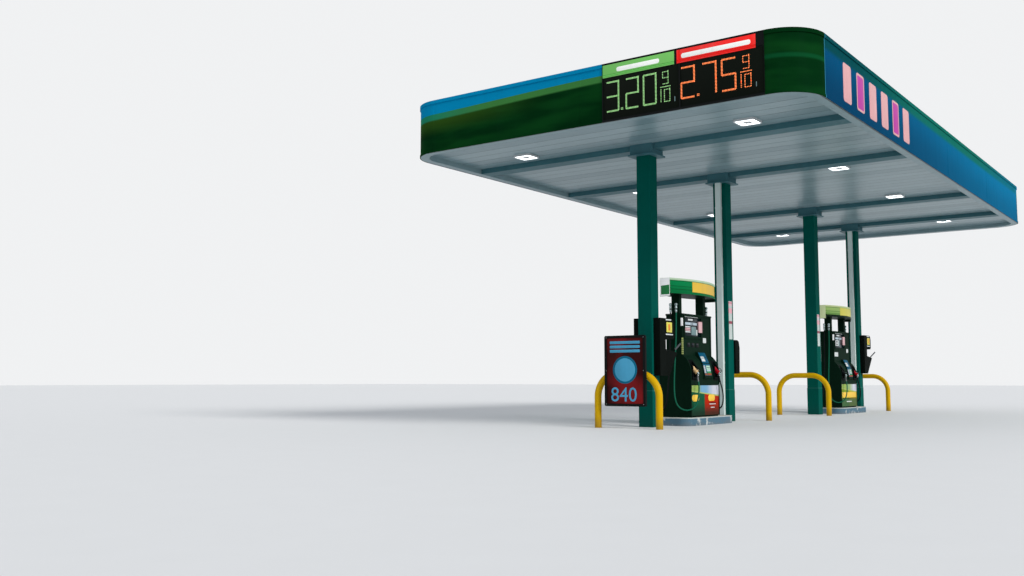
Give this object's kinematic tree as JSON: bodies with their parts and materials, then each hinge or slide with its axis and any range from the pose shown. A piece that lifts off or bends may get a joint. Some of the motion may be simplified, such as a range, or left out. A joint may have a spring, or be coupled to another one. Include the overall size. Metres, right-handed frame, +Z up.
{
  "type": "filling station canopy with pump islands",
  "caption": "Flat roof on a row of steel columns over fuel dispensers on kerbed islands, with a lit price sign, ceiling lights and hoop guards.",
  "frame": {"origin": "at ground level under the middle of the roof", "axes": "+Y along the row of columns, away from the end with the price sign; +X across the roof; +Z up"},
  "size_m": [7.316, 15.24, 5.624],
  "materials": {
    "column_paint": "gloss paint, dark green, dusty at the foot",
    "ceiling_white": "gloss off-white coated sheet",
    "frame_steel": "primed and weathered structural steel",
    "fascia_green": "gloss printed sheet, dark green with lighter bands",
    "sign_black": "satin black",
    "lamp_housing": "white die-cast housing round a bright lens",
    "pipe_white": "coated sheet, slightly dirty",
    "guard_yellow": "thick yellow paint, scuffed",
    "island_concrete": "painted concrete, worn and stained",
    "kerb_steel": "blue-grey paint, chipped at the edge",
    "cabinet_green": "gloss dark green",
    "topper_green": "moulded sign body, green with pale trims",
    "nozzle_plastic": "coloured splash guard over an alloy body",
    "hose_rubber": "satin rubber",
    "unit_plastic": "black moulded plastic",
    "notice_plate": "white plate with red bands"
  },
  "bodies": {
    "root": {"column_1": "column_paint", "column_2": "column_paint", "column_3": "column_paint", "column_4": "column_paint", "column_collars": "ceiling_white", "main_beam_1": "frame_steel", "main_beam_2": "frame_steel", "main_beam_3": "frame_steel", "main_beam_4": "frame_steel", "beam_covers": "ceiling_white", "purlins_left": "frame_steel", "purlins_right": "frame_steel", "edge_channels": "frame_steel", "deck_bay_1": "ceiling_white", "deck_bay_2": "ceiling_white", "deck_bay_3": "ceiling_white", "deck_bay_4": "ceiling_white", "deck_bay_5": "ceiling_white", "gutters": "ceiling_white", "gutter_corners": "ceiling_white", "fascia_frames": "frame_steel", "fascia_front": "fascia_green", "fascia_back": "fascia_green", "fascia_left": "fascia_green", "fascia_right": "fascia_green", "fascia_corners": "fascia_green", "price_sign": "sign_black", "ceiling_lights": "lamp_housing", "downspouts": "pipe_white", "hoop_guards_1": "guard_yellow", "hoop_guards_2": "guard_yellow", "poster_frame": "sign_black", "island_slab_1": "island_concrete", "island_slab_2": "island_concrete", "island_kerb_1": "kerb_steel", "island_kerb_2": "kerb_steel", "dispenser_cabinet_1": "cabinet_green", "dispenser_cabinet_2": "cabinet_green", "dispenser_topper_1": "topper_green", "dispenser_topper_2": "topper_green", "dispenser_nozzles_1": "nozzle_plastic", "dispenser_nozzles_2": "nozzle_plastic", "hose_1_a": "hose_rubber", "hose_1_b": "hose_rubber", "hose_1_c": "hose_rubber", "hose_1_d": "hose_rubber", "hose_2_a": "hose_rubber", "hose_2_b": "hose_rubber", "hose_2_c": "hose_rubber", "hose_2_d": "hose_rubber", "service_units": "unit_plastic", "column_notices": "notice_plate"}
  },
  "joints": []
}
